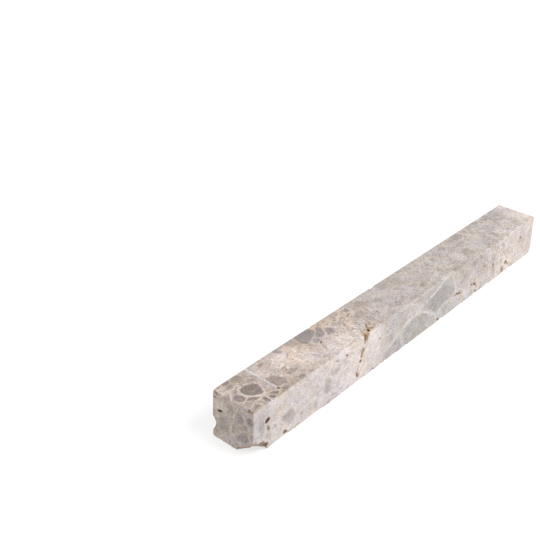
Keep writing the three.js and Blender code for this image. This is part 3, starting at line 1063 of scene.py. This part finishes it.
def add_fragments(colour):
    """Smaller fragments in the ground, some darker and some paler, and pale lines between."""
    bold = field("bold")
    pale = vein_colour()
    warmth = 1 - 0.85 * field("tan")
    for size, seed, darkest, palest, line in FRAGMENTS:
        chance, hue, inside = fragments(size, seed)
        body = bold * smooth(inside, line, 2 * line)
        grey = mix(warmth * smooth(hue, 0.3, 0.7), WARM_GREY, COOL_GREY)
        darker = darkest * body * smooth(chance, 0.45, 0.9)
        colour = mix(darker, colour, grey)
        paler = palest * body * smooth(chance, 0.3, 0)
        colour = mix(paler, colour, pale)
        broken = smooth(cloud(3 * size, seed + 2), 0.42, 0.6)
        between = 0.6 * bold * broken * smooth(inside, line, 0)
        colour = mix(between, colour, pale)
    return colour


def add_threads(colour):
    """Thin threads that wander through the ground, some pale and some tan."""
    bold = field("bold")
    for size, seed, thread, strength in ((5, 12, vein_colour(), 0.6), (3, 13, TAN, 0.5)):
        shown = smooth(abs(cloud(size, seed, 4, 0.6) - 0.5), 0.012, 0)
        broken = smooth(cloud(4, seed + 2), 0.45, 0.6)
        colour = mix(strength * bold * shown * broken, colour, thread)
    return colour


def add_tints(colour):
    """Drifts of warm and of lilac through the stone. The grey zones have less of the warm and
    the tan ones less of the lilac."""
    warmth = 1 - 0.4 * field("grey")
    coolness = 1 - 0.5 * field("tan")
    for size, seed in ((5, 16), (1.1, 17)):
        drift = cloud(size, seed, 2)
        warm = warmth * smooth(drift, 0.5, 0.72)
        colour = mix(warm, colour, WARM_TINT, "MULTIPLY")
        lilac = coolness * smooth(drift, 0.5, 0.28)
        colour = mix(lilac, colour, LILAC_TINT, "MULTIPLY")
    return colour


def add_grain(colour):
    """Fine light and dark grain."""
    grain = wander(1, 0.25, 19, 2) + wander(0.5, 0.8, 20, 2)
    grain = grain + wander(0.25, 0.6, 21, 2)
    return lighten(colour, 1 + grain * (1.05 + 0.4 * field("bold")))


def clast_edge():
    """Distance from the nearest clast's ragged edge, negative inside, and the raggedness."""
    ragged = wander(0.9, 1, 24, 4)
    feather = wander(1.6, 2.6, 25, 4) * (1 - field("clast_dark"))
    return field("clast") + ragged + feather, ragged


def add_clasts(colour):
    """The clasts, with blurred edges where they are faint."""
    dark = field("clast_dark")
    edge, ragged = clast_edge()
    gap = smooth(field("clast_gap") + ragged, 0.1, 0.45)
    blur = 0.22 + 0.9 * (1 - dark)
    inside = smooth(edge, blur, -1 * blur)
    warm = mix(dark, FAINT_WARM, DARK_WARM)
    cool = mix(dark, FAINT_COOL, DARK_COOL)
    stone = mix(field("clast_cool") + wander(2, 3, 23), warm, cool)
    mottle = wander(1, 0.8, 26, 4) + wander(3, 1, 27)
    share = inside * gap * (0.75 + 0.2 * dark)
    return mix(share, colour, lighten(stone, 1 + mottle))


def darken(colour):
    """The darkening that the zones of the rod say. On the near end it is partly painted shade,
    and the paling of the front towards its far edge is a painted highlight.
    """
    return lighten(colour, 1 - 0.22 * field("dark"))


def add_rims(colour):
    """A pale rim round each clast, the clearer the darker the clast is."""
    edge, _ = clast_edge()
    rim = smooth(edge, 0.8, 0.35) * smooth(edge, -0.05, 0.25)
    strength = 0.5 * rim * field("clast_dark") * field("bold")
    return mix(strength, colour, vein_colour())


def add_veins(colour):
    """The pale lines that are listed."""
    beside = field("vein_side") + wander(1.8, 1, 28, 4)
    near_line = smooth(field("vein_near"), 1.8, 1.2)
    width = field("vein_half") + wander(1.5, 0.7, 29)
    line = near_line * smooth(abs(beside), width, 0)
    patchy = smooth(cloud(2.2, 30), 0.3, 0.6)
    uneven = 0.5 * field("tan") + 0.9 * patchy
    return mix(line * field("vein_strength") * uneven, colour, vein_colour())


def add_saw_mark(colour):
    """The worn pale groove that a saw left across the top."""
    beside = field("saw_side") + wander(3, 0.5, 32)
    near_mark = smooth(field("saw_near"), 1.2, 0.8)
    mark = near_mark * smooth(abs(beside), field("saw_half"), 0.1)
    worn = smooth(cloud(1.2, 33, 4), 0.3, 0.55)
    return mix(mark * field("saw_strength") * (0.6 + 0.4 * worn), colour, SAW_WHITE)


def add_freckles(colour):
    """Brown freckles, sparse or thick as the zones of the rod say."""
    chance = primary(cells(places(0.9, 36), "Color"), 0)
    crowded = chance + 0.28 * field("freckled")
    close = cells(places(0.9, 36), "Distance") + wander(0.4, 0.5, 37)
    spot = smooth(close, 0.4, 0.2) * smooth(crowded, 0.96, 1.04)
    return mix(0.65 * spot, colour, BROWN)


def add_dirt_and_shade(colour):
    """Tan, brown and nearly black in the pits, the seam and the broken hollows, with ochre
    where they are rusty. Along the seam's left side and in the hollow under the near lower
    corner, the dark is partly painted shade."""
    dirt = field("dirt") + wander(0.6, 0.45, 40)
    earth = mix(field("rust"), UMBER, OCHRE)
    for dirtier, start, end in (
        (TAN, 0.15, 0.32),
        (earth, 0.35, 0.55),
        (BROWN, 0.6, 0.78),
        (DARK_BROWN, 0.82, 0.98),
    ):
        colour = mix(smooth(dirt, start, end), colour, dirtier)
    return colour


def finish_marble():
    """Lays everything over the ground, in order, and joins it all to the shader."""
    colour = ground_colour()
    for layer in (add_fragments, add_clasts, add_threads, darken, add_rims, add_veins, add_tints,
                  add_saw_mark, add_freckles, add_dirt_and_shade, add_grain):
        colour = layer(colour)
    shader = tree.nodes["Principled BSDF"]
    grain = cloud(0.35, 44)
    bump = {"Height": grain, "Strength": 0.25, "Distance": 0.05 * MM}
    feed(shader, "Base Color", colour)
    feed(shader, "Normal", add_node("ShaderNodeBump", bump))
    feed(shader, "Roughness", 0.5 + 0.3 * grain)


# -------- studio

WHITE = (1, 1, 1, 1)
FLOOR_SIZE = 40  # metres, so that its edges are far out of view
FLOOR_TONE = (0.28, 0.28, 0.28, 1)
FLOOR_ROUGHNESS = 0.9
FLOOR_GLOW = 0.7
SKY_STRENGTH = 0.8
KEY_PLACE = (0.33, -1.36, 1.7)
KEY_SIZE = 1.1
KEY_POWER = 36

# The camera, as fitted to the outline of the rod in the photo.
VIEW_AZIMUTH = math.radians(-50.6)
VIEW_ELEVATION = math.radians(26.82)
VIEW_DISTANCE = 0.3546
VIEW_TARGET = (0.0058, 0.0605, 0)
VIEW_LENS = 62.78


def make_floor():
    """A pale floor that glows a little, so that the shadows on it stay faint."""
    bpy.ops.mesh.primitive_plane_add(size=FLOOR_SIZE)
    floor = bpy.context.object
    floor.name = "floor"
    paper = bpy.data.materials.new("floor_paper")
    paper.use_nodes = True
    shader = paper.node_tree.nodes["Principled BSDF"]
    feed(shader, "Base Color", FLOOR_TONE)
    feed(shader, "Roughness", FLOOR_ROUGHNESS)
    feed(shader, "Emission Color", WHITE)
    feed(shader, "Emission Strength", FLOOR_GLOW)
    floor.data.materials.append(paper)


def add_aimed(name, data, place, target):
    """Adds a light or a camera that looks at a target."""
    thing = bpy.data.objects.new(name, data)
    bpy.context.scene.collection.objects.link(thing)
    thing.location = place
    thing.rotation_euler = (Vector(target) - Vector(place)).to_track_quat("-Z", "Y").to_euler()
    return thing


def make_light():
    lamp = bpy.data.lights.new("key", "AREA")
    lamp.shape = "DISK"
    lamp.size = KEY_SIZE
    lamp.energy = KEY_POWER
    add_aimed("key", lamp, KEY_PLACE, (0, 0, 0))


def make_sky():
    sky = bpy.data.worlds.new("studio")
    sky.use_nodes = True
    background = sky.node_tree.nodes["Background"]
    feed(background, "Color", WHITE)
    feed(background, "Strength", SKY_STRENGTH)
    bpy.context.scene.world = sky


def make_camera():
    lens = bpy.data.cameras.new("camera")
    lens.lens = VIEW_LENS
    level = math.cos(VIEW_ELEVATION)
    across, behind = math.sin(VIEW_AZIMUTH) * level, -math.cos(VIEW_AZIMUTH) * level
    back = Vector((across, behind, math.sin(VIEW_ELEVATION)))
    place = Vector(VIEW_TARGET) + VIEW_DISTANCE * back
    bpy.context.scene.camera = add_aimed("camera", lens, place, VIEW_TARGET)


rod, corners = make_rod()
mark_rod(rod.data, corners)
finish_marble()
rod.data.materials.append(marble)
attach(rod, "root")
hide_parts("marble_rod")
make_floor()
make_light()
make_sky()
make_camera()
bpy.context.scene.view_settings.view_transform = "Standard"
